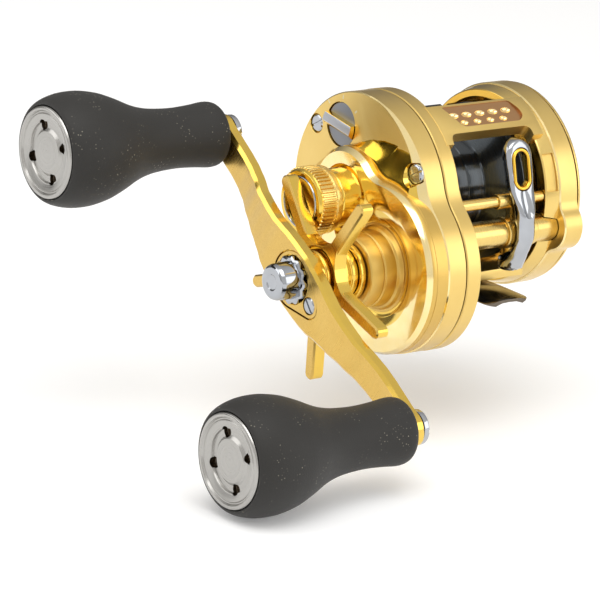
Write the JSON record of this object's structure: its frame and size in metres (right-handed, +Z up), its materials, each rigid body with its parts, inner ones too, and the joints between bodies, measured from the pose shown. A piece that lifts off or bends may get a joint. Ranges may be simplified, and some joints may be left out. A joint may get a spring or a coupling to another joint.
{
  "type": "baitcasting fishing reel",
  "caption": "Level-wind casting reel with a one-piece frame, gear side cover, star drag, double handle with foam knobs, and a reel foot.",
  "frame": {"origin": "middle of the foot's underside, where it rests on a rod's reel seat", "axes": "+X out of the handle side along the spool axis, +Y forward the way the line leaves, +Z up away from the rod"},
  "size_m": [0.1411, 0.116, 0.0881],
  "materials": {
    "gold": "satin gold anodised, polished on the chamfers",
    "chrome": "bright chrome plate",
    "steel": "ground stainless steel",
    "gunmetal": "dark gunmetal anodised, polished",
    "foot_steel": "dark polished stainless steel",
    "foam": "closed-cell foam, matt charcoal with pale specks",
    "cap_steel": "turned satin stainless steel",
    "brass": "machined brass",
    "plastic": "black moulded nylon",
    "carbon": "woven carbon friction disc"
  },
  "bodies": {
    "frame": {"frame": "gold", "handle_side_plate": "gold", "palm_side_plate": "gold", "foot": "foot_steel", "foot_screw_front": "steel", "foot_screw_rear": "steel", "side_plate_screw_rear": "chrome", "side_plate_screw_front": "chrome", "side_plate_screw_lower": "chrome", "palm_lock_screw": "steel", "spool_bearing_palm": "steel", "spool_bearing_handle": "steel", "pinion_support_bearing": "steel", "brake_ring": "steel", "drive_shaft_bearing": "steel", "roller_clutch": "steel", "worm_tube": "gold", "guide_rod": "gold"},
    "drive": {"drive_shaft": "steel", "crank_gear": "plastic", "drive_gear": "brass", "drag_washer": "carbon", "pressure_plate": "steel", "clutch_sleeve": "steel", "star_spring_washer": "gold", "arm_collar": "gold", "handle_arm": "gold", "retainer_plate": "gold", "retainer_screw": "chrome", "handle_nut": "chrome", "knob_pin_lower": "chrome", "knob_pin_upper": "chrome"},
    "spool": {"spool": "gunmetal", "spool_shaft": "steel", "pinion_gear": "brass", "brake_hub": "plastic", "brake_shoe_1": "plastic", "brake_shoe_2": "plastic"},
    "worm": {"worm_shaft": "steel", "worm_gear": "plastic"},
    "carriage": {"guide_carriage": "gold", "line_guide": "chrome", "guide_insert": "gold", "pawl_cap": "chrome"},
    "pawl": {"pawl": "brass"},
    "star": {"star_drag": "gold"},
    "knob_lower": {"knob_grip_lower": "foam", "knob_cap_lower": "cap_steel", "knob_bearing_inner_lower": "steel", "knob_bearing_outer_lower": "steel"},
    "knob_upper": {"knob_grip_upper": "foam", "knob_cap_upper": "cap_steel", "knob_bearing_inner_upper": "steel", "knob_bearing_outer_upper": "steel"},
    "cast_control": {"cast_control_knob": "gold", "cast_control_ring": "chrome", "cast_control_pad": "carbon"},
    "dial": {"dial": "chrome"},
    "thumb_bar": {"thumb_bar": "plastic"},
    "yoke": {"clutch_yoke": "plastic"}
  },
  "joints": [
    {"name": "handle_turn", "type": "hinge", "parent": "frame", "child": "drive", "pos_m": [0.04, 0.0146, 0.00885], "axis": [1, 0, 0], "continuous": true},
    {"name": "spool_spin", "type": "hinge", "parent": "frame", "child": "spool", "pos_m": [0, 0, 0.0248], "axis": [1, 0, 0], "continuous": true},
    {"name": "worm_spin", "type": "hinge", "parent": "frame", "child": "worm", "pos_m": [0, 0.0249, 0.0171], "axis": [1, 0, 0], "continuous": true},
    {"name": "guide_slide", "type": "slide", "parent": "frame", "child": "carriage", "axis": [1, 0, 0], "range_m": [-0.0033, 0.014]},
    {"name": "pawl_swivel", "type": "hinge", "parent": "carriage", "child": "pawl", "pos_m": [-0.0056, 0.0249, 0.0118], "axis": [0, 0, 1], "range_deg": [-25, 25]},
    {"name": "star_turn", "type": "hinge", "parent": "drive", "child": "star", "pos_m": [0.048, 0.0146, 0.00885], "axis": [1, 0, 0], "range_deg": [-150, 150]},
    {"name": "knob_lower_spin", "type": "hinge", "parent": "drive", "child": "knob_lower", "pos_m": [0.08, 0.05749, -0.02019], "axis": [1, 0, 0], "continuous": true},
    {"name": "knob_upper_spin", "type": "hinge", "parent": "drive", "child": "knob_upper", "pos_m": [0.08, -0.02829, 0.03789], "axis": [1, 0, 0], "continuous": true},
    {"name": "cast_control_turn", "type": "hinge", "parent": "frame", "child": "cast_control", "pos_m": [0.044, 0, 0.0248], "axis": [1, 0, 0], "range_deg": [-180, 180]},
    {"name": "dial_turn", "type": "hinge", "parent": "frame", "child": "dial", "pos_m": [0.0275, -0.0089, 0.0421], "axis": [1, 0, 0], "range_deg": [-45, 45]},
    {"name": "thumb_press", "type": "slide", "parent": "frame", "child": "thumb_bar", "axis": [0, -0.5736, -0.8192], "range_m": [0, 0.0035]},
    {"name": "yoke_slide", "type": "slide", "parent": "frame", "child": "yoke", "axis": [1, 0, 0], "range_m": [0, 0.001]}
  ],
  "couplings": [
    {"joint": "spool_spin", "follows": "handle_turn", "ratio": -8},
    {"joint": "worm_spin", "follows": "handle_turn", "ratio": -1.2},
    {"joint": "yoke_slide", "follows": "thumb_press", "ratio": 0.28571}
  ]
}
